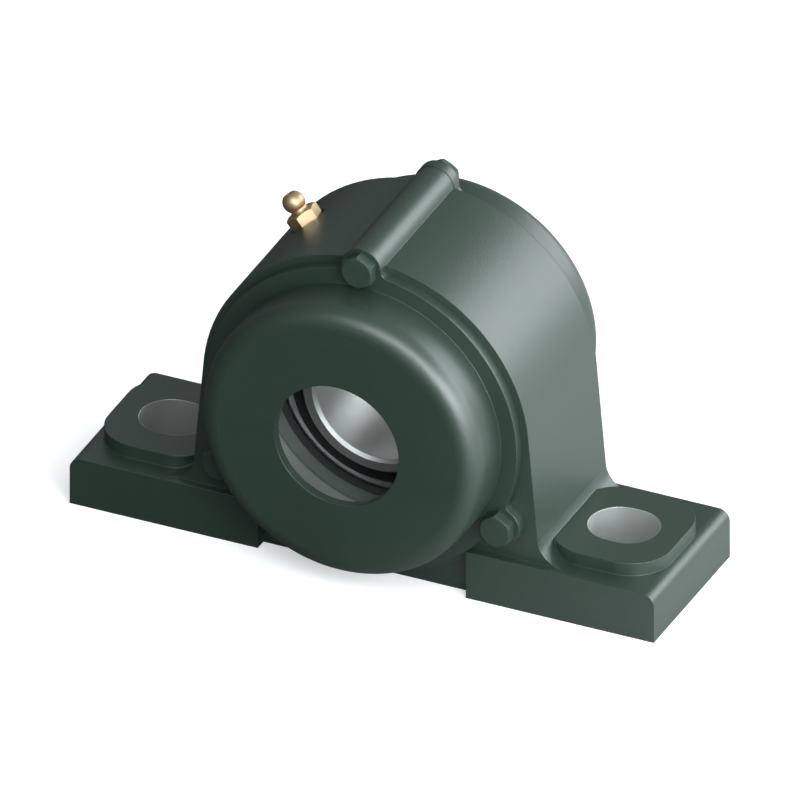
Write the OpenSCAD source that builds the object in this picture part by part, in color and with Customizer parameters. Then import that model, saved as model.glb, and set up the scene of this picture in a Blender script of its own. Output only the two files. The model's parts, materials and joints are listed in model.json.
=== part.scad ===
// Pillow block bearing with bolted end covers and an adapter-sleeve insert.
// Origin: middle of the base's underside. X runs along the base, Y along the shaft, Z up.
// The front cover is on the -Y side. Sizes follow from the shaft outwards.

/* [Adapter] */
// Diameter of the shaft
shaft_d = 40; // [38:0.5:45]
// Thickness of the sleeve's wall under its thread
sleeve_t = 2.5; // [2.2:0.1:3]
// How far the sleeve's thick end stands out from the inner ring
sleeve_out = 2; // [1:0.25:4]
// How far the sleeve's threaded end stands out from the lock nut
sleeve_tail = 5.75; // [3:0.25:8]
// Width of the slit along the sleeve
slit_w = 3; // [2:0.25:4]
// Chamfer at both ends of the sleeve's bore
bore_chamfer = 1; // [0.6:0.1:1.6]
// Thickness of the lock nut between its thread and its outside
nut_t = 10; // [8:0.5:12]
// Width of the lock nut
nut_w = 11; // [9:0.5:13]
// Width of a slot in the lock nut
nut_slot_w = 7; // [5:0.5:9]
// Depth of a slot in the lock nut
nut_slot_d = 2.8; // [2:0.1:3.2]
// Thickness of the lock washer
washer_t = 1.25; // [1:0.05:1.5]
// Number of tabs round the lock washer
tab_count = 13; // [9:2:17]
// Width of a tab
tab_w = 5; // [4:0.25:6]
// How far a tab stands out beyond the lock nut
tab_out = 2; // [1:0.25:3]

/* [Insert bearing] */
// Thickness of the inner ring under the balls
inner_wall = 2.38; // [2:0.01:3]
// Diameter of a ball
ball_d = 12.7; // [11.5:0.1:14]
// Number of balls
ball_count = 9; // [9:1:9]
// Thickness of the outer ring over the balls
outer_wall = 3.63; // [3:0.01:4.5]
// How much larger the radius of a groove is than a ball's
groove_slack = 0.25; // [0.15:0.01:0.4]
// Height of the shoulders beside the inner groove
inner_shoulder = 2.67; // [2.2:0.01:3]
// Height of the shoulders beside the outer groove
outer_shoulder = 2.27; // [1.9:0.01:2.6]
// How far the inner ring stands out on each side of the outer ring
ring_stand = 4; // [3:0.25:6]
// Distance of the grease groove and the nipple from the middle plane
grease_y = 5.9; // [5.2:0.05:6.6]

/* [Cage, seals and flingers] */
// Thickness of the cage between its inside and its outside
cage_t = 4.4; // [3.4:0.1:5]
// How far the closed side of the cage stands beyond the balls
cage_back = 1.1; // [0.6:0.1:1.3]
// How far the open side of the cage reaches past the ball centres
cage_front = 2.6; // [1.6:0.1:3.4]
// Gap between a ball and its pocket
pocket_gap = 0.15; // [0.1:0.01:0.25]
// Gap between the cage and a seal
seal_gap = 0.6; // [0.4:0.05:1]
// Depth of a seal from the ring's face to its inner side
seal_depth = 2.8; // [2.4:0.1:3.2]
// Thickness of a seal's outer rim
seal_rim_t = 2.3; // [1.8:0.1:2.8]
// Thickness of a seal's plate
seal_plate_t = 0.7; // [0.5:0.05:0.9]
// Gap between a seal's lip and the inner ring
lip_gap = 0.25; // [0.1:0.05:0.5]
// Thickness of a flinger's disc
flinger_t = 0.8; // [0.6:0.05:1]
// How deep a flinger's disc lies under the outer ring's face
flinger_depth = 0.9; // [0.7:0.05:1.1]

/* [Covers] */
// How far a cover stands out from the body's face
cover_out = 20.85; // [18:0.05:26]
// How far a cover's round wall stands out beyond the housing's mouth
cover_step = 4.2; // [3.6:0.1:6]
// Rounding of a cover's front edge
cover_edge_r = 6.4; // [4:0.1:9]
// Thickness of a cover's wall
cover_t = 3; // [2:0.1:3.6]
// Width of a cover's flange outside its round wall
flange_rim = 5.1; // [4:0.1:6]
// Thickness of a cover's flange
flange_t = 3.5; // [2:0.1:4.5]
// Radius of the lobe round each cover screw
lobe_r = 6.5; // [6:0.1:8]
// Fillet between a lobe and the flange
lobe_fillet = 2; // [1:0.5:4]
// Length of the spigot that centres a cover in the housing
spigot_l = 2; // [1:0.25:4]
// Thickness of the spigot
spigot_t = 2.2; // [1.5:0.1:3]
// Gap between the shaft and a cover's opening
opening_gap = 0.2; // [0.1:0.05:0.5]

/* [Cover screws] */
// Number of screws in each cover
screw_count = 3; // [3:1:3]
// Thread diameter of a cover screw
screw_d = 6; // [5:0.5:7]
// Width across the flats of a screw head
head_af = 9.6; // [8.4:0.1:10.8]
// Height of a screw head
head_h = 3.6; // [2.5:0.1:5]
// Length of a screw under its head
screw_l = 16; // [12:0.5:18]
// Gap between a screw head's corners and a cover's round wall
head_gap = 0.96; // [0.5:0.02:2]

/* [Housing body] */
// Width of the round seat for the insert, along the shaft
seat_w = 20.3; // [17:0.1:22]
// Extra room of the two loading slots round the insert
load_gap = 0.4; // [0.2:0.1:1]
// Width of the body along the shaft
body_w = 48.5; // [43:0.5:55]
// How far the body stands out round a cover's flange
body_step = 2.4; // [1.5:0.1:4]
// Height of the body's round underside above the base's underside
body_lift = 1; // [0.5:0.1:4]
// How much wider the flanks stand at the feet than the round body
flank_flare = 3.6; // [2:0.2:6]
// Fillet between a flank and its foot
flank_r = 8.5; // [3:0.5:10]
// Radius of the ridge that carries the top cover screws
ridge_r = 6.3; // [5.5:0.1:8]

/* [Base] */
// Height of the feet, up to their top face
foot_h = 16; // [13:0.5:19]
// How far a foot stands out in front of the body
foot_out = 2.75; // [1:0.25:5]
// How far the web between the feet lies back from the body's face
web_back = 1.25; // [0.5:0.25:4]
// Gap between a foot's inner end and a cover's flange
foot_gap = 0.4; // [0.3:0.1:3]
// Distance of a foot bolt from the flank
bolt_out = 16.4; // [14:0.2:22]
// Distance of a foot bolt from the end of the base
bolt_end = 22; // [21:0.5:28]
// Rounding along the top edge of each end
end_r = 3.7; // [1:0.1:5]
// Width of a bolt slot
slot_w = 19.5; // [14:0.5:22]
// How much longer than wide a bolt slot is
slot_play = 2.5; // [1:0.5:6]
// Height of a bolt pad above its foot
pad_h = 4.3; // [2:0.1:7]
// Length of a bolt pad along the base
pad_l = 37.2; // [34:0.2:42]
// Width of a bolt pad
pad_w = 40.4; // [35:0.2:49]
// Corner radius of a bolt pad
pad_r = 13; // [6:0.5:15]

/* [Grease nipple] */
// Angle of the nipple above the +X side
nipple_angle = 128.6; // [115:0.2:140]
// Width across the flats of the nipple's hexagon
nipple_af = 9.2; // [8.6:0.1:11]
// Height of the hexagon
nipple_hex_h = 4.4; // [3:0.1:5]
// Turn of the hexagon about the nipple's axis
nipple_turn = 42; // [0:1:59]
// Thread diameter of the nipple
nipple_thread_d = 7; // [6:0.5:7.5]
// Length of the nipple's thread
nipple_thread_l = 5.5; // [4:0.5:7]
// Diameter of the nipple's head
nipple_head_d = 6.9; // [6:0.1:7.2]
// Diameter of the neck under the head
nipple_neck_d = 5.2; // [4:0.1:5.6]
// Height of the head's middle above the hexagon
nipple_head_up = 3.3; // [3:0.1:4]
// How much of the head's ball is cut off at its tip
nipple_tip_cut = 0.6; // [0.4:0.05:0.8]

/* [Hidden] */
$fn = 96;

// Clearances of the fits
seat_gap = 0.03;
fixed_gap = 0.02;
roll_gap = 0.02;
thread_gap = 0.05;
// Length by which cutting shapes run past the faces that they cut
past = 1;
// Depth by which two shapes that touch along a tangent run into each other
nip = 0.02;

// Gap round a disc or plate that stays clear of the piece outside it
disc_gap = 0.4;

// Adapter: the bore of the inner ring widens towards the front, 1 in 12 on the diameter
taper = 1 / 24;
shaft_r = shaft_d / 2;
thread_r = shaft_r + sleeve_t;

// Faces along the shaft, measured from the middle plane
ball_r = ball_d / 2;
cage_side = ball_r + pocket_gap + cage_back;
ring_y = cage_side + seal_gap + seal_depth;
inner_y = ring_y + ring_stand;
face_y = body_w / 2;
flange_y = face_y + flange_t;
cover_y = face_y + cover_out;
sleeve_front_y = inner_y + sleeve_out;
sleeve_rear_y = -inner_y - washer_t - nut_w - sleeve_tail;

// Radii from the shaft outwards
function taper_r(y) = thread_r + (y + inner_y) * taper;
groove_r = ball_r + groove_slack;
inner_groove_r = taper_r(inner_y) + inner_wall;
pitch_r = inner_groove_r + roll_gap + ball_r;
outer_groove_r = pitch_r + ball_r + roll_gap;
inner_land_r = inner_groove_r + inner_shoulder;
outer_land_r = outer_groove_r - outer_shoulder;
seal_rim_r = outer_land_r - seal_rim_t;
insert_r = outer_groove_r + outer_wall;
mouth_r = sqrt((insert_r + seat_gap) ^ 2 - (seat_w / 2) ^ 2);
cover_r = mouth_r + cover_step;
flange_r = cover_r + flange_rim;
body_r = flange_r + body_step;
shaft_h = body_r + body_lift;
nut_r = thread_r + nut_t;
ring_edge = 0.5;

// Cover screws
screw_r = cover_r + head_af / sqrt(3) + head_gap;
screw_angles = [for (i = [0:screw_count - 1]) 90 + i * 360 / screw_count];
screw_hole_r = screw_d / 2 + fixed_gap;
screw_hole_end = 1.5;

// Feet: their inner ends stay clear of the covers' flanges
foot_start = sqrt(flange_r ^ 2 - (shaft_h - foot_h) ^ 2) + foot_gap;
foot_w = body_w + 2 * foot_out;
flank_x = body_r + flank_flare;
bolt_x = flank_x + bolt_out;
base_end = bolt_x + bolt_end;

// Ball number n stands at n times this angle
ball_step = 360 / ball_count;

// Nipple, measured from the shaft axis along its own axis; its seat is a flat cut into the body
nipple_sink = 0.9;
nipple_seat = body_r - nipple_sink;
nipple_face_d = 1.3 * nipple_af;
nipple_hex_top = nipple_seat + nipple_hex_h;
nipple_head_z = nipple_hex_top + nipple_head_up;
nipple_top = nipple_head_z + nipple_head_d / 2 - nipple_tip_cut;
nipple_bore_r = 1.45;
nipple_mouth_r = 1;
check_ball_r = 1.25;
mouth_depth = 0.6;
check_ball_z = nipple_top - mouth_depth - sqrt(check_ball_r ^ 2 - nipple_mouth_r ^ 2) - fixed_gap;
spring_wire_r = 0.2;
spring_r = 1.05;
spring_turns = 5;
spring_floor = nipple_seat - 0.5;

// Puts a shape whose +z points out of the front face onto the shaft axis
module on_shaft() {
  translate([0, 0, shaft_h]) rotate([90, 0, 0]) children();
}

// Puts a shape on the nipple's axis, with +z pointing away from the shaft
module on_nipple() {
  translate([0, grease_y, shaft_h]) rotate([0, 90 - nipple_angle, 0]) children();
}

module round_rect(size_x, size_y, corner) {
  square([size_x - 2 * corner, size_y], center = true);
  square([size_x, size_y - 2 * corner], center = true);
  for (sx = [-1, 1], sy = [-1, 1])
    translate([sx * (size_x / 2 - corner), sy * (size_y / 2 - corner)]) circle(corner);
}

module slot_outline() {
  square([slot_play, slot_w], center = true);
  for (side = [-1, 1]) translate([side * slot_play / 2, 0]) circle(d = slot_w);
}

// Housing: one grey iron casting
// Its flanks leave the round body along tangents and end in fillets on the feet
flank_drop = shaft_h - foot_h;
flank_tilt = acos(body_r / norm([flank_x, flank_drop])) - atan2(flank_drop, flank_x);
flank_top = [(body_r - nip) * cos(flank_tilt), shaft_h + (body_r - nip) * sin(flank_tilt)];
fillet_z = foot_h + flank_r;
fillet_x = (body_r + flank_r - (fillet_z - shaft_h) * sin(flank_tilt)) / cos(flank_tilt);
fillet_start = [fillet_x - flank_r * cos(flank_tilt), fillet_z - flank_r * sin(flank_tilt)];

module half_body_outline() {
  polygon([[0, foot_h - past], [flank_x, foot_h - past], [flank_x, foot_h], flank_top, [0, shaft_h]]);
  difference() {
    polygon([
      fillet_start, [fillet_x, fillet_z], [fillet_x, foot_h - past], [flank_x - past, foot_h - past]
    ]);
    translate([fillet_x - nip, fillet_z - nip]) circle(flank_r);
  }
}

module foot_outline() {
  translate([foot_start, 0]) square([base_end - end_r - foot_start, foot_h]);
  translate([foot_start, 0]) square([base_end - foot_start, foot_h - end_r]);
  translate([base_end - end_r, foot_h - end_r]) circle(end_r);
}

module housing_solid() {
  translate([0, body_w / 2, 0]) rotate([90, 0, 0]) linear_extrude(body_w) {
    translate([0, shaft_h]) circle(body_r);
    for (side = [0, 1]) mirror([side, 0]) half_body_outline();
  }
  on_shaft() translate([0, screw_r, -face_y]) cylinder(r = ridge_r, h = body_w);
  for (side = [0, 1]) mirror([side, 0, 0]) {
    translate([0, foot_w / 2, 0]) rotate([90, 0, 0]) linear_extrude(foot_w) foot_outline();
    translate([bolt_x, 0, 0]) linear_extrude(foot_h + pad_h) round_rect(pad_l, pad_w, pad_r);
  }
  web_w = body_w - 2 * web_back;
  translate([-foot_start - past, -web_w / 2, 0]) cube([2 * (foot_start + past), web_w, foot_h]);
}

// The insert goes in at the rear with its axis across the bore, through the two loading slots
module seat_cut() {
  translate([0, 0, shaft_h]) sphere(insert_r + seat_gap);
  on_shaft() {
    translate([0, 0, -face_y - past]) cylinder(r = mouth_r, h = body_w + 2 * past);
    intersection() {
      translate([0, 0, -face_y - past]) cylinder(r = insert_r + load_gap, h = face_y + past);
      translate([-body_r, -ring_y - load_gap, -face_y - past])
        cube([2 * body_r, 2 * (ring_y + load_gap), face_y + past]);
    }
  }
}

module screw_places() {
  for (angle = screw_angles) rotate(angle) translate([screw_r, 0, 0]) children();
}

module housing() {
  color([0.19, 0.25, 0.22]) difference() {
    housing_solid();
    seat_cut();
    for (side = [-1, 1]) translate([side * bolt_x, 0, -past])
      linear_extrude(foot_h + pad_h + 2 * past) slot_outline();
    for (side = [0, 1]) mirror([0, side, 0]) on_shaft() screw_places()
      translate([0, 0, flange_y - screw_l - screw_hole_end])
        cylinder(r = screw_hole_r, h = screw_l + screw_hole_end);
    on_nipple() {
      translate([0, 0, nipple_seat]) cylinder(d = nipple_face_d, h = nipple_sink + past);
      translate([0, 0, nipple_seat - nipple_thread_l - past])
        cylinder(d = nipple_thread_d + 2 * fixed_gap, h = nipple_thread_l + 2 * past);
      cylinder(r = nipple_bore_r, h = nipple_seat);
    }
  }
}

// Covers: iron caps with a spigot in the housing's mouth and a flange under three screws
module rounded_block(radius, height, corner) {
  square([radius, height - corner]);
  square([radius - corner, height]);
  translate([radius - corner, height - corner]) intersection() {
    circle(corner);
    square(corner);
  }
}

module cover_section() {
  spigot_r = mouth_r - thread_gap;
  difference() {
    union() {
      rounded_block(cover_r, cover_y, cover_edge_r);
      translate([0, face_y]) square([flange_r, flange_t]);
    }
    rounded_block(cover_r - cover_t, cover_y - cover_t, cover_edge_r - cover_t);
    translate([0, -past]) square([cover_r + past, face_y + past]);
    translate([0, -past]) square([shaft_r + opening_gap, cover_y + 2 * past]);
  }
  translate([spigot_r - spigot_t, face_y - spigot_l]) square([spigot_t, spigot_l + flange_t]);
  translate([spigot_r - spigot_t, face_y]) square([cover_r - spigot_r + spigot_t, flange_t]);
}

// Fillets between a lobe and the flange touch both circles from outside
module lobe_outline() {
  reach = flange_r + lobe_fillet;
  near = lobe_r + lobe_fillet;
  lobe_turn = acos((reach ^ 2 + screw_r ^ 2 - near ^ 2) / (2 * reach * screw_r));
  translate([screw_r, 0]) circle(lobe_r);
  for (side = [-1, 1]) {
    corner = reach * [cos(lobe_turn), side * sin(lobe_turn)];
    difference() {
      polygon([[0, 0], [screw_r, 0], corner]);
      circle(cover_r);
      translate(corner) circle(lobe_fillet);
    }
  }
}

module cover() {
  color([0.19, 0.25, 0.22]) on_shaft() difference() {
    union() {
      rotate_extrude() cover_section();
      translate([0, 0, face_y]) linear_extrude(flange_t) difference() {
        for (angle = screw_angles) rotate(angle) lobe_outline();
        circle(cover_r - cover_t / 2);
      }
    }
    screw_places() translate([0, 0, face_y - past])
      cylinder(r = screw_hole_r, h = flange_t + 2 * past);
  }
}

module front_cover() {
  cover();
}

module rear_cover() {
  mirror([0, 1, 0]) cover();
}

// Hexagon with its corners turned down at the top, standing on z = 0
module hex_block(flats, height) {
  corner_r = flats / sqrt(3);
  top_r = flats / 2 - 0.2;
  slope = tan(30);
  intersection() {
    cylinder(r = corner_r, h = height, $fn = 6);
    rotate_extrude() polygon([
      [0, 0], [corner_r + past, 0],
      [corner_r + past, height - (corner_r + past - top_r) * slope], [top_r, height], [0, height]
    ]);
  }
}

module cover_screw() {
  point = 0.6;
  hex_block(head_af, head_h);
  translate([0, 0, point - screw_l]) cylinder(d = screw_d, h = screw_l - point);
  translate([0, 0, -screw_l]) cylinder(d1 = screw_d - 2 * point, d2 = screw_d, h = point);
}

module cover_screws() {
  color([0.24, 0.30, 0.27]) on_shaft() screw_places() translate([0, 0, flange_y]) cover_screw();
}

module front_cover_screws() {
  cover_screws();
}

module rear_cover_screws() {
  mirror([0, 1, 0]) cover_screws();
}

// Grease nipple: brass body, check ball and spring
module grease_nipple() {
  color([0.74, 0.60, 0.42]) on_nipple() difference() {
    union() {
      translate([0, 0, nipple_seat]) rotate(nipple_turn) hex_block(nipple_af, nipple_hex_h);
      translate([0, 0, nipple_seat - nipple_thread_l]) cylinder(d = nipple_thread_d, h = nipple_thread_l);
      translate([0, 0, nipple_seat]) cylinder(d = nipple_neck_d, h = nipple_head_z - nipple_seat);
      intersection() {
        translate([0, 0, nipple_head_z]) sphere(d = nipple_head_d);
        cylinder(d = nipple_head_d + past, h = nipple_top);
      }
    }
    cylinder(r = nipple_mouth_r, h = nipple_top + past);
    translate([0, 0, spring_floor])
      cylinder(r = nipple_bore_r, h = nipple_top - mouth_depth - spring_floor);
  }
}

module nipple_ball() {
  color([0.80, 0.80, 0.80]) on_nipple() translate([0, 0, check_ball_z]) sphere(check_ball_r);
}

// The spring's wire is swept along a helix as a ring of points at each step
module nipple_spring() {
  wire_sides = 6;
  steps_per_turn = 12;
  steps = spring_turns * steps_per_turn;
  low = spring_floor + spring_wire_r + fixed_gap;
  high = check_ball_z - sqrt((check_ball_r + spring_wire_r) ^ 2 - spring_r ^ 2) - 0.08;
  points = [
    for (i = [0:steps], j = [0:wire_sides - 1])
      let (turn = 360 * i / steps_per_turn, side = 360 * j / wire_sides,
        out = spring_r + spring_wire_r * cos(side))
        [out * cos(turn), out * sin(turn), low + (high - low) * i / steps + spring_wire_r * sin(side)]
  ];
  last = steps * wire_sides;
  faces = [
    for (j = [1:wire_sides - 2]) [0, j, j + 1],
    for (i = [0:steps - 1], j = [0:wire_sides - 1], half = [0, 1])
      let (a = i * wire_sides + j, b = i * wire_sides + (j + 1) % wire_sides)
        half == 0 ? [a, a + wire_sides, b + wire_sides] : [a, b + wire_sides, b],
    for (j = [1:wire_sides - 2]) [last, last + j + 1, last + j]
  ];
  color([0.62, 0.62, 0.64]) on_nipple() polyhedron(points, faces, convexity = 10);
}

// Insert bearing: the outer ring's round outside sits in the housing's round seat
module outer_ring() {
  grease_depth = 0.8;
  grease_w = 2.4;
  hole_r = 0.7;
  grease_floor = sqrt(insert_r ^ 2 - grease_y ^ 2) - grease_depth;
  color([0.55, 0.57, 0.58]) on_shaft() difference() {
    rotate_extrude() difference() {
      intersection() {
        circle(insert_r);
        polygon([
          [outer_land_r, -ring_y], [insert_r + past, -ring_y],
          [insert_r + past, ring_y], [outer_land_r, ring_y]
        ]);
      }
      translate([outer_groove_r - groove_r, 0]) circle(groove_r);
      translate([grease_floor, -grease_y - grease_w / 2]) square([grease_depth + past, grease_w]);
    }
    for (turn = [0, 180]) rotate([0, 90, nipple_angle + turn])
      translate([grease_y, 0, outer_land_r - past]) cylinder(r = hole_r, h = insert_r);
  }
}

module seal() {
  seal_y = ring_y - seal_depth;
  color([0.16, 0.17, 0.18]) on_shaft() rotate_extrude() polygon([
    [inner_land_r + lip_gap, seal_y], [outer_land_r - fixed_gap, seal_y],
    [outer_land_r - fixed_gap, ring_y], [seal_rim_r, ring_y],
    [seal_rim_r, seal_y + seal_plate_t], [inner_land_r + lip_gap, seal_y + seal_plate_t]
  ]);
}

module front_seal() {
  seal();
}

module rear_seal() {
  mirror([0, 1, 0]) seal();
}

module inner_ring() {
  color([0.58, 0.60, 0.61]) on_shaft() rotate_extrude() difference() {
    polygon([
      [taper_r(-inner_y), -inner_y], [inner_land_r - ring_edge, -inner_y],
      [inner_land_r, ring_edge - inner_y], [inner_land_r, inner_y - ring_edge],
      [inner_land_r - ring_edge, inner_y], [taper_r(inner_y), inner_y]
    ]);
    translate([inner_groove_r + groove_r, 0]) circle(groove_r);
  }
}

// Flingers: pressed steel discs that turn with the inner ring, just outside the seals
module flinger() {
  disc_y = ring_y - flinger_depth;
  disc_r = seal_rim_r - disc_gap;
  hub_t = 0.9;
  hub_l = 2.4;
  color([0.35, 0.37, 0.38]) on_shaft() rotate_extrude() polygon([
    [inner_land_r + fixed_gap, disc_y - flinger_t], [disc_r, disc_y - flinger_t],
    [disc_r, disc_y], [inner_land_r + hub_t, disc_y],
    [inner_land_r + hub_t, disc_y + hub_l], [inner_land_r + fixed_gap, disc_y + hub_l]
  ]);
}

module front_flinger() {
  flinger();
}

module rear_flinger() {
  mirror([0, 1, 0]) flinger();
}

// Adapter sleeve: slit along its top, tapered outside, threaded at the rear
module adapter_sleeve() {
  bite = fixed_gap;
  color([0.50, 0.52, 0.53]) on_shaft() difference() {
    rotate_extrude() polygon([
      [shaft_r, sleeve_rear_y + bore_chamfer], [shaft_r + bore_chamfer, sleeve_rear_y],
      [thread_r - thread_gap, sleeve_rear_y],
      [thread_r - thread_gap, -inner_y],
      [taper_r(-inner_y) - bite, -inner_y],
      [taper_r(sleeve_front_y) - bite, sleeve_front_y],
      [shaft_r + bore_chamfer, sleeve_front_y], [shaft_r, sleeve_front_y - bore_chamfer]
    ]);
    translate([-slit_w / 2, 0, sleeve_rear_y - past])
      cube([slit_w, taper_r(sleeve_front_y) + past, sleeve_front_y - sleeve_rear_y + 2 * past]);
  }
}

// Lock washer: a key in the sleeve's slit and one tab bent into a slot of the nut
module lock_washer() {
  slot_floor = nut_r - nut_slot_d;
  plate_r = slot_floor - disc_gap;
  key_w = slit_w - 2 * thread_gap;
  key_r = shaft_r + 0.8;
  key_l = thread_r + past - key_r;
  bent_w = min(tab_w, nut_slot_w - 1);
  bent_l = 0.55 * nut_w;
  bent_r = slot_floor + thread_gap;
  root_r = plate_r - washer_t;
  color([0.52, 0.53, 0.54]) on_shaft() translate([0, 0, -inner_y - washer_t]) {
    difference() {
      union() {
        cylinder(r = plate_r, h = washer_t);
        for (i = [1:tab_count - 1]) rotate(90 + i * 360 / tab_count)
          translate([0, -tab_w / 2, 0]) cube([nut_r + tab_out, tab_w, washer_t]);
      }
      translate([0, 0, -past]) cylinder(r = thread_r + fixed_gap, h = washer_t + 2 * past);
    }
    translate([-key_w / 2, key_r, 0]) cube([key_w, key_l, washer_t]);
    translate([-bent_w / 2, bent_r, -bent_l]) cube([bent_w, washer_t, bent_l + washer_t]);
    translate([-bent_w / 2, root_r, 0]) cube([bent_w, bent_r + washer_t - root_r, washer_t]);
  }
}

module lock_nut() {
  edge = 1.5;
  color([0.50, 0.52, 0.53]) on_shaft() translate([0, 0, -inner_y - washer_t - nut_w]) difference() {
    rotate_extrude() polygon([
      [thread_r, 0], [nut_r - 2 * edge, 0], [nut_r, edge], [nut_r, nut_w - edge / 2],
      [nut_r - edge, nut_w], [thread_r, nut_w]
    ]);
    for (turn = [0:90:270]) rotate(90 + turn)
      translate([nut_r - nut_slot_d, -nut_slot_w / 2, -past])
        cube([nut_slot_d + past, nut_slot_w, nut_w + 2 * past]);
  }
}

// Cage: a moulded crown with one snap pocket for each ball
module cage() {
  pocket_r = ball_r + pocket_gap;
  color([0.75, 0.70, 0.58]) on_shaft() difference() {
    rotate_extrude() translate([pitch_r - cage_t / 2, -cage_side])
      square([cage_t, cage_side + cage_front]);
    for (i = [1:ball_count]) rotate(i * ball_step) translate([pitch_r, 0, 0]) sphere(pocket_r);
  }
}

module ball(number) {
  color([0.82, 0.83, 0.84]) on_shaft() rotate(number * ball_step)
    translate([pitch_r, 0, 0]) sphere(ball_r);
}

housing();
front_cover();
rear_cover();
front_cover_screws();
rear_cover_screws();
grease_nipple();
nipple_ball();
nipple_spring();
outer_ring();
front_seal();
rear_seal();
inner_ring();
front_flinger();
rear_flinger();
adapter_sleeve();
lock_washer();
lock_nut();
cage();
ball(1);  // ball_1
ball(2);  // ball_2
ball(3);  // ball_3
ball(4);  // ball_4
ball(5);  // ball_5
ball(6);  // ball_6
ball(7);  // ball_7
ball(8);  // ball_8
ball(9);  // ball_9
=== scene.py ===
import json
import math

import bpy
from mathutils import Matrix, Vector


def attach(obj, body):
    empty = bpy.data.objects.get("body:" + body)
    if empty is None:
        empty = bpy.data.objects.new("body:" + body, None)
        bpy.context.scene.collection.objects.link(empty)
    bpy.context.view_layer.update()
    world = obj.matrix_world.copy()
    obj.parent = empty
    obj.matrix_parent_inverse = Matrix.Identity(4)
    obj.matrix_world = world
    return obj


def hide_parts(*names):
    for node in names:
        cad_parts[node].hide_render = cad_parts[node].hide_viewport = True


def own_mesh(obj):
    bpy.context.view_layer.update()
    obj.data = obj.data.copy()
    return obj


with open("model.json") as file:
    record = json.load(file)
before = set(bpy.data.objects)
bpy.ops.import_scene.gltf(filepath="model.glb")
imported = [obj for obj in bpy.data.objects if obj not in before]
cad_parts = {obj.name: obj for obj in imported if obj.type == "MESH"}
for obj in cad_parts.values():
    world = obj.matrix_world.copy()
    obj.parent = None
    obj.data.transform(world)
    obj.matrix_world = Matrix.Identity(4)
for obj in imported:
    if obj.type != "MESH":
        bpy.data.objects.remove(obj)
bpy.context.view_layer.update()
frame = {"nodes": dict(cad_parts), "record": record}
nodes = frame["nodes"]

# Camera: the photograph is a parallel view from the front right, 31 degrees above the floor.
# It is turned by 24.6 degrees from the shaft's line and tipped by a tenth of a degree.
turn, rise, tip = math.radians(24.572), math.radians(31.394), math.radians(0.087)
picture_pixels, metres_per_pixel = 800, 0.00029563
middle_aside, middle_above = 0.03 * metres_per_pixel, 129.87 * metres_per_pixel
camera_distance, near_limit, far_limit = 1.0, 0.01, 10
right = Vector((math.cos(turn), math.sin(turn), 0))
back = Vector((math.sin(turn) * math.cos(rise), -math.cos(turn) * math.cos(rise), math.sin(rise)))
up = back.cross(right)
picture_right = right * math.cos(tip) + up * math.sin(tip)
picture_up = up * math.cos(tip) - right * math.sin(tip)
stand = right * middle_aside + up * middle_above + back * camera_distance
camera_data = bpy.data.cameras.new("camera")
camera_data.type = "ORTHO"
camera_data.ortho_scale = picture_pixels * metres_per_pixel
camera_data.clip_start, camera_data.clip_end = near_limit, far_limit
camera = bpy.data.objects.new("camera", camera_data)
bpy.context.scene.collection.objects.link(camera)
facing = Matrix((picture_right, picture_up, back)).transposed().to_4x4()
camera.matrix_world = Matrix.Translation(stand) @ facing
bpy.context.scene.camera = camera
bpy.context.scene.view_settings.view_transform = "Standard"

# Floor: a wide flat sheet, white to the camera, with the object's soft shadow on it.
# What it throws back is a painted shade: grey, darkest at the front left, so that the object's underparts
# stay dark.
floor_half = 3.0
floor_white, floor_glow = (0.86, 0.86, 0.86, 1), 0.40
grey_dark, grey_light = 0.08, 0.70
dark_end, light_end, share_of_depth = -0.05, 0.14, 0.5


def add(owner, kind, settings=None, **inputs):
    # Adds a node to a finish or to the studio. Each input is given by its name, or by _ and its
    # number, and takes a value or another node's output.
    node = owner.node_tree.nodes.new(kind)
    for name, value in (settings or {}).items():
        setattr(node, name, value)
    for name, value in inputs.items():
        socket = node.inputs[int(name[1:])] if name[0] == "_" else node.inputs[name.replace("_", " ")]
        if isinstance(value, bpy.types.NodeSocket):
            owner.node_tree.links.new(value, socket)
        else:
            socket.default_value = value
    return node


def work_out(owner, operation, first, second=0.0, third=0.0):
    return add(owner, "ShaderNodeMath", {"operation": operation}, _0=first, _1=second, _2=third).outputs[0]


def place_in(owner, kind="Object"):
    # The x, y and z of a point in the piece's own frame, or of a direction in the studio's
    place = add(owner, "ShaderNodeTexCoord").outputs[kind]
    return list(add(owner, "ShaderNodeSeparateXYZ", Vector=place).outputs)


def blend(owner, amount, first, second):
    # A colour between two others, by the amount from 0 to 1
    return add(owner, "ShaderNodeMix", {"data_type": "RGBA"}, _0=amount, _6=first, _7=second).outputs[2]


floor_mesh = bpy.data.meshes.new("floor")
floor_mesh.from_pydata(
    [(x * floor_half, y * floor_half, 0) for x, y in ((-1, -1), (1, -1), (1, 1), (-1, 1))],
    [], [(0, 1, 2, 3)])
floor = bpy.data.objects.new("floor", floor_mesh)
bpy.context.scene.collection.objects.link(floor)
floor_finish = bpy.data.materials.new("floor_white")
floor_finish.use_nodes = True
floor_finish.node_tree.nodes.clear()
seen = add(floor_finish, "ShaderNodeLightPath").outputs["Is Camera Ray"]
# Painted shade: the grey that all rays but the camera's see darkens towards the front left
x, y = place_in(floor_finish)[:2]
painted_shade_gradient = work_out(floor_finish, "MULTIPLY_ADD", y, share_of_depth, x)
grey = add(floor_finish, "ShaderNodeMapRange", Value=painted_shade_gradient, From_Min=dark_end, From_Max=light_end,
           To_Min=grey_dark, To_Max=grey_light).outputs[0]
matte = add(floor_finish, "ShaderNodeBsdfDiffuse", Color=blend(floor_finish, seen, grey, floor_white))
glow = add(floor_finish, "ShaderNodeEmission",
           Strength=work_out(floor_finish, "MULTIPLY", seen, floor_glow))
both = add(floor_finish, "ShaderNodeAddShader", _0=matte.outputs[0], _1=glow.outputs[0])
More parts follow.
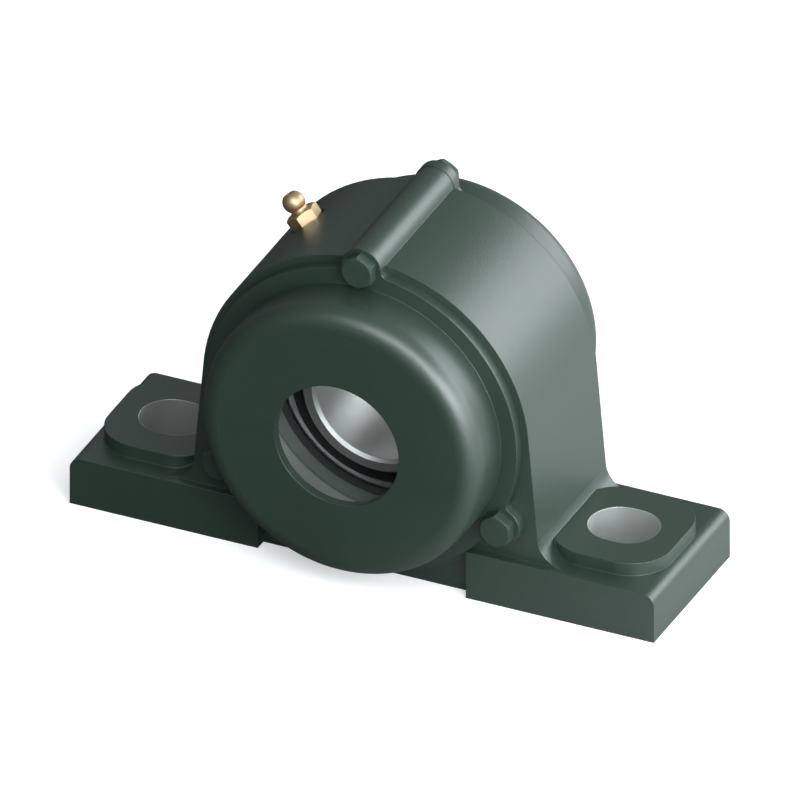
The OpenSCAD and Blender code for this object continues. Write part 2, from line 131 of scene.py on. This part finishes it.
add(floor_finish, "ShaderNodeOutputMaterial", Surface=both.outputs[0])
floor_mesh.materials.append(floor_finish)

# Studio: a pale room, brighter towards the right where the window side is, white to the camera.
# The left side of the object falls into shade.
room_colour, camera_white = (0.93, 0.97, 1.0, 1), (1, 1, 1, 1)
room_left, room_right = 0.12, 0.72
studio = bpy.data.worlds.new("studio")
bpy.context.scene.world = studio
studio.use_nodes = True
studio.node_tree.nodes.clear()
aside = place_in(studio, "Generated")[0]
level = add(studio, "ShaderNodeMapRange", Value=aside, From_Min=-1, From_Max=1,
            To_Min=room_left, To_Max=room_right).outputs[0]
room = add(studio, "ShaderNodeBackground", Color=room_colour, Strength=level)
backdrop = add(studio, "ShaderNodeBackground", Color=camera_white)
seen = add(studio, "ShaderNodeLightPath").outputs["Is Camera Ray"]
both = add(studio, "ShaderNodeMixShader", _0=seen, _1=room.outputs[0], _2=backdrop.outputs[0])
add(studio, "ShaderNodeOutputWorld", Surface=both.outputs[0])

# Lamps: a wide soft box to the right and a little behind draws the bright bands on the roundings.
# One at the right front and one above the camera light the cover's edge and the inside of the bore.
lamp_colour = (0.91, 0.97, 1.0)
lamps_aim = Vector((0, 0, 0.05))
for lamp_name, place, width, height, watts in (
        ("key", (0.98, 0.60, 0.50), 2.2, 0.75, 20),
        ("side", (0.98, -0.66, 0.48), 0.9, 0.7, 17),
        ("front", (0.26, -0.78, 0.90), 1.0, 0.45, 8)):
    lamp_data = bpy.data.lights.new(lamp_name, "AREA")
    lamp_data.shape = "RECTANGLE"
    lamp_data.size, lamp_data.size_y = width, height
    lamp_data.energy = watts
    lamp_data.color = lamp_colour
    lamp = bpy.data.objects.new(lamp_name, lamp_data)
    bpy.context.scene.collection.objects.link(lamp)
    lamp.location = place
    lamp.rotation_euler = (Vector(place) - lamps_aim).to_track_quat("Z", "Y").to_euler()

# Housing: a grey iron casting, painted a dark grey-green with a satin finish over a faint sand grain.
# The round seat, both mouths and the loading slots are turned bare, and so are the bolt slots and the
# underside. In the bolt slots the light bare iron is also a painted highlight on their walls.
paint_colour, paint_gloss = (0.015, 0.031, 0.021), 0.95
paint_dark, paint_light = [[share * part for part in paint_colour] for share in (0.88, 1.12)]
cloud_scale, sand_scale, sand_depth, paint_edge = 35, 1100, 0.00004, 0.00035
iron_colour, iron_metallic, iron_roughness = (0.52, 0.54, 0.52, 1), 0.7, 0.45
bare_radius, underside_height, slot_margin, mm = 0.0432, 0.00005, 0.00007, 0.001
mounts = {mount["name"]: mount for mount in frame["record"]["mounts"]}
shaft_height = mounts["shaft_bore"]["pos_m"][2]
bolts = mounts["foot_bolts"]["dims"]
bolt_place, slot_half_width = bolts["spacing_x_mm"] / 2 * mm, bolts["hole_r_mm"] * mm
slot_half_straight = bolts["slot_length_mm"] / 2 * mm - slot_half_width


def shader_of(finish):
    return finish.node_tree.nodes["Principled BSDF"]


def feed(finish, name, output):
    finish.node_tree.links.new(output, shader_of(finish).inputs[name])


def new_finish(name, colour, metallic):
    finish = bpy.data.materials.new(name)
    finish.use_nodes = True
    shader_of(finish).inputs["Base Color"].default_value = (*colour, 1)
    shader_of(finish).inputs["Metallic"].default_value = metallic
    return finish


def grain(finish, scale, detail=3.0):
    place = add(finish, "ShaderNodeTexCoord").outputs["Object"]
    return add(finish, "ShaderNodeTexNoise", Vector=place, Scale=scale, Detail=detail).outputs[0]


def tint(finish, dark, light, amount):
    # Lets the colour wander between two tones
    skin = blend(finish, amount, (*dark, 1), (*light, 1))
    feed(finish, "Base Color", skin)
    return skin


def wear(finish, amount, smooth, rough):
    # Lets the roughness wander between two values
    span = add(finish, "ShaderNodeMapRange", Value=amount, To_Min=smooth, To_Max=rough).outputs[0]
    feed(finish, "Roughness", span)
    return span


def dents(finish, height, depth, edge=0.0):
    # Presses a height map of the given depth in metres into the finish, over edges rounded by edge metres
    bump = add(finish, "ShaderNodeBump", Height=height, Distance=depth, Strength=1.0)
    if edge:
        rounded = add(finish, "ShaderNodeBevel", {"samples": 6}, Radius=edge)
        finish.node_tree.links.new(rounded.outputs[0], bump.inputs["Normal"])
    feed(finish, "Normal", bump.outputs[0])


def length_of(finish, first, second):
    # The length of a line by its two legs
    squares = [work_out(finish, "MULTIPLY", leg, leg) for leg in (first, second)]
    return work_out(finish, "SQRT", work_out(finish, "ADD", *squares))


def from_shaft(finish):
    # Distance from the shaft's axis, and place along it
    x, y, z = place_in(finish)
    return length_of(finish, x, work_out(finish, "SUBTRACT", z, shaft_height)), y


def paint_finish(name):
    finish = new_finish(name, paint_colour, metallic=0.0)
    shader_of(finish).inputs["Specular IOR Level"].default_value = paint_gloss
    cloud = grain(finish, cloud_scale, detail=2.0)
    skin = tint(finish, paint_dark, paint_light, cloud)
    rough = wear(finish, cloud, smooth=0.36, rough=0.42)
    dents(finish, grain(finish, sand_scale, detail=4.0), sand_depth, paint_edge)
    return finish, skin, rough


def bolt_slots_painted_light(finish):
    # 1 inside the bolt slots, 0 outside them; the light bare iron there is a painted highlight on the slot
    # walls
    x, y = place_in(finish)[:2]
    aside = work_out(finish, "SUBTRACT", work_out(finish, "ABSOLUTE", x), bolt_place)
    beyond = work_out(finish, "SUBTRACT", work_out(finish, "ABSOLUTE", aside), slot_half_straight)
    reach = length_of(finish, work_out(finish, "MAXIMUM", beyond, 0.0), y)
    return work_out(finish, "LESS_THAN", reach, slot_half_width + slot_margin)


def dress(node_names, finish):
    for node_name in node_names:
        nodes[node_name].data.materials.clear()
        nodes[node_name].data.materials.append(finish)


housing_finish, skin, rough = paint_finish("housing_paint")
turned = work_out(housing_finish, "LESS_THAN", from_shaft(housing_finish)[0], bare_radius)
under = work_out(housing_finish, "LESS_THAN", place_in(housing_finish)[2], underside_height)
# Bare iron where turned, under the feet and in the bolt slots, where it is also a painted highlight
bare_and_painted_light = work_out(housing_finish, "MAXIMUM", work_out(housing_finish, "MAXIMUM", turned, under),
                bolt_slots_painted_light(housing_finish))
bare_rough = add(housing_finish, "ShaderNodeMix", _0=bare_and_painted_light, _2=rough, _3=iron_roughness)
feed(housing_finish, "Base Color", blend(housing_finish, bare_and_painted_light, skin, iron_colour))
feed(housing_finish, "Metallic", work_out(housing_finish, "MULTIPLY", bare_and_painted_light, iron_metallic))
feed(housing_finish, "Roughness", bare_rough.outputs[0])
dress(["housing"], housing_finish)

# Covers: thin iron caps in the same paint, bolted over both mouths.
# Their spigots and bearing faces don't show, so the paint covers them all over.
dress(["front_cover", "rear_cover"], paint_finish("cover_paint")[0])

# Cover screws: cold-headed steel with a dark zinc coat, in nearly the tone of the paint.
# The coat is mottled, and a little rounder over the corners of the heads.
screw_colour = (0.046, 0.072, 0.056)
screw_dark, screw_light = [[share * part for part in screw_colour] for share in (0.8, 1.15)]
screw_finish = new_finish("screw_coat", screw_colour, metallic=0.45)
tint(screw_finish, screw_dark, screw_light, grain(screw_finish, scale=260))
wear(screw_finish, grain(screw_finish, scale=420), smooth=0.3, rough=0.44)
dents(screw_finish, grain(screw_finish, scale=1500), depth=0.00002, edge=0.0002)
dress(["front_cover_screws", "rear_cover_screws"], screw_finish)

# Grease nipple: turned from hexagon brass, a little dull from handling.
# Its ball-shaped head takes the coupler of a grease gun, over a steel check ball and spring.
brass_dark, brass_light = (0.50, 0.36, 0.20), (0.64, 0.48, 0.30)
brass_finish = new_finish("nipple_brass", brass_dark, metallic=1.0)
tint(brass_finish, brass_dark, brass_light, grain(brass_finish, scale=500))
wear(brass_finish, grain(brass_finish, scale=700), smooth=0.42, rough=0.56)
dents(brass_finish, grain(brass_finish, scale=2600), depth=0.00002, edge=0.00012)
dress(["grease_nipple"], brass_finish)

bright_colour = (0.56, 0.56, 0.57)
bright_finish = new_finish("bright_steel", bright_colour, metallic=1.0)
wear(bright_finish, grain(bright_finish, scale=3000), smooth=0.16, rough=0.3)
dress(["nipple_ball"], bright_finish)

# Check spring: round spring wire, coiled cold and pushed up the nipple's bore from below.
# It gives way by the ball's travel when grease comes in; here it is built at rest.
nipple_lean, nipple_along_shaft = math.radians(128.6), 0.0059
nipple_root = Vector((0, nipple_along_shaft, shaft_height))
nipple_way = Vector((math.cos(nipple_lean), 0, math.sin(nipple_lean)))
nipple_side = Vector((math.sin(nipple_lean), 0, -math.cos(nipple_lean)))
nipple_across = Vector((0, 1, 0))
spring_low, spring_high, ball_travel = 0.05184, 0.06018, 0.0007
coil_radius, wire_radius, coils = 0.00105, 0.00018, 5
steps_per_coil, wire_sides = 32, 10
steps = coils * steps_per_coil
wire_turns = [2 * math.pi * k / wire_sides for k in range(wire_sides)]
spring_points = []
for step in range(steps + 1):
    coil_turn = 2 * math.pi * step / steps_per_coil
    outward = nipple_side * math.cos(coil_turn) + nipple_across * math.sin(coil_turn)
    climb = spring_low + (spring_high - spring_low) * step / steps
    centre = nipple_root + nipple_way * climb + outward * coil_radius
    spring_points += [centre + outward * (wire_radius * math.cos(turned))
                      + nipple_way * (wire_radius * math.sin(turned)) for turned in wire_turns]
spring_faces = [[step * wire_sides + k, step * wire_sides + (k + 1) % wire_sides,
                 (step + 1) * wire_sides + (k + 1) % wire_sides, (step + 1) * wire_sides + k]
                for step in range(steps) for k in range(wire_sides)]
spring_faces.append(list(range(wire_sides))[::-1])
spring_faces.append([steps * wire_sides + k for k in range(wire_sides)])
spring_mesh = bpy.data.meshes.new("check_spring")
spring_mesh.from_pydata(spring_points, [], spring_faces)
spring_mesh.polygons.foreach_set("use_smooth", [len(face) == 4 for face in spring_faces])
spring_mesh.materials.append(bright_finish)
spring = bpy.data.objects.new("check_spring", spring_mesh)
bpy.context.scene.collection.objects.link(spring)
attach(spring, "housing")
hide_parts("nipple_spring")
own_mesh(spring)

# Rings: through-hardened bearing steel, ground all over, blackened and lightly oiled.
# The grinding leaves fine lines round the axis, closest on the round outside.
ring_dark, ring_light = (0.09, 0.105, 0.097), (0.125, 0.142, 0.133)
grinding_pitch, grinding_depth = 0.00022, 0.000002


def turned_lines(finish, along, pitch):
    # Rings at a fine pitch, as a tool or wheel leaves them, with some noise in their height
    share, speckle_scale = 0.3, 2500
    ring = work_out(finish, "SINE", work_out(finish, "MULTIPLY", along, 2 * math.pi / pitch))
    return work_out(finish, "MULTIPLY_ADD", ring, share, grain(finish, speckle_scale))


ring_finish = new_finish("black_ring_steel", ring_dark, metallic=0.9)
radius, along = from_shaft(ring_finish)
lines = turned_lines(ring_finish, work_out(ring_finish, "ADD", radius, along), grinding_pitch)
tint(ring_finish, ring_dark, ring_light, grain(ring_finish, scale=60))
wear(ring_finish, grain(ring_finish, scale=120), smooth=0.24, rough=0.34)
dents(ring_finish, lines, grinding_depth, edge=0.0001)
dress(["outer_ring", "inner_ring"], ring_finish)

# Seals: black rubber moulded on a steel plate, snapped into the outer ring.
# The mould leaves shallow rings on the open side, and a matt skin.
rubber_colour = (0.026, 0.034, 0.030)
rib_pitch, rib_depth = 0.0012, 0.00002
rubber_finish = new_finish("seal_rubber", rubber_colour, metallic=0.0)
ribs = work_out(rubber_finish, "SINE", work_out(
    rubber_finish, "MULTIPLY", from_shaft(rubber_finish)[0], 2 * math.pi / rib_pitch))
wear(rubber_finish, grain(rubber_finish, scale=300), smooth=0.5, rough=0.68)
dents(rubber_finish, ribs, rib_depth)
dress(["front_seal", "rear_seal"], rubber_finish)

# Flingers and lock washer: pressed from thin strip, plated with zinc.
# The plating is a little cloudy, and the pressed edges are soft.
zinc_dark, zinc_light = (0.34, 0.35, 0.37), (0.47, 0.48, 0.49)
plate_finish = new_finish("zinc_plate", zinc_dark, metallic=1.0)
tint(plate_finish, zinc_dark, zinc_light, grain(plate_finish, scale=160))
wear(plate_finish, grain(plate_finish, scale=380), smooth=0.26, rough=0.42)
dents(plate_finish, grain(plate_finish, scale=1200), depth=0.00002, edge=0.0001)
dress(["front_flinger", "rear_flinger", "lock_washer"], plate_finish)

# Adapter sleeve and lock nut: turned steel, the sleeve bright and lightly oiled, the nut blackened.
# The lathe's lines run round them, and the sleeve's tail carries a fine thread.
sleeve_dark, sleeve_light = (0.48, 0.50, 0.48), (0.56, 0.58, 0.56)
sleeve_pitch, line_depth = 0.0003, 0.00001
thread_pitch, thread_depth, thread_from, thread_radius = 0.0015, 0.0003, 0.0205, 0.0222


def turns_round_shaft(finish):
    x, y, z = place_in(finish)
    height = work_out(finish, "SUBTRACT", z, shaft_height)
    return work_out(finish, "DIVIDE", work_out(finish, "ARCTAN2", height, x), 2 * math.pi)


sleeve_finish = new_finish("turned_steel", sleeve_dark, metallic=0.8)
radius, along = from_shaft(sleeve_finish)
lines = turned_lines(sleeve_finish, work_out(sleeve_finish, "ADD", radius, along), sleeve_pitch)
screw_turns = work_out(
    sleeve_finish, "MULTIPLY_ADD", along, 1 / thread_pitch, turns_round_shaft(sleeve_finish))
screw_line = work_out(sleeve_finish, "SINE", work_out(sleeve_finish, "MULTIPLY", screw_turns, 2 * math.pi))
threaded = work_out(sleeve_finish, "MULTIPLY", work_out(sleeve_finish, "GREATER_THAN", along, thread_from),
                    work_out(sleeve_finish, "GREATER_THAN", radius, thread_radius))
cut = work_out(sleeve_finish, "MULTIPLY", work_out(sleeve_finish, "MULTIPLY", screw_line, threaded),
               thread_depth / line_depth)
tint(sleeve_finish, sleeve_dark, sleeve_light, grain(sleeve_finish, scale=70))
wear(sleeve_finish, grain(sleeve_finish, scale=240), smooth=0.38, rough=0.5)
dents(sleeve_finish, work_out(sleeve_finish, "ADD", lines, cut), line_depth, edge=0.0001)
dress(["adapter_sleeve"], sleeve_finish)

nut_dark, nut_light = (0.075, 0.08, 0.08), (0.13, 0.135, 0.135)
nut_pitch, nut_line_depth = 0.0004, 0.000012
nut_finish = new_finish("oxide_black", nut_dark, metallic=0.85)
lines = turned_lines(nut_finish, from_shaft(nut_finish)[0], nut_pitch)
tint(nut_finish, nut_dark, nut_light, grain(nut_finish, scale=140))
wear(nut_finish, grain(nut_finish, scale=300), smooth=0.3, rough=0.46)
dents(nut_finish, lines, nut_line_depth, edge=0.0002)
dress(["lock_nut"], nut_finish)

# Cage: glass-filled nylon, moulded in one piece with snap pockets for the balls.
# The glass gives it a cream, slightly mottled skin.
nylon_dark, nylon_light = (0.56, 0.49, 0.35), (0.68, 0.61, 0.46)
nylon_finish = new_finish("nylon", nylon_dark, metallic=0.0)
tint(nylon_finish, nylon_dark, nylon_light, grain(nylon_finish, scale=120))
wear(nylon_finish, grain(nylon_finish, scale=500), smooth=0.42, rough=0.6)
dents(nylon_finish, grain(nylon_finish, scale=900), depth=0.00004)
dress(["cage"], nylon_finish)

# Balls: chrome steel, lapped to a mirror, one in each pocket of the cage.
# The lapping leaves only the faintest haze.
ball_colour, ball_count = (0.62, 0.62, 0.62), 9
ball_finish = new_finish("lapped_steel", ball_colour, metallic=1.0)
wear(ball_finish, grain(ball_finish, scale=200), smooth=0.05, rough=0.12)
dress(["ball_%d" % number for number in range(1, ball_count + 1)], ball_finish)
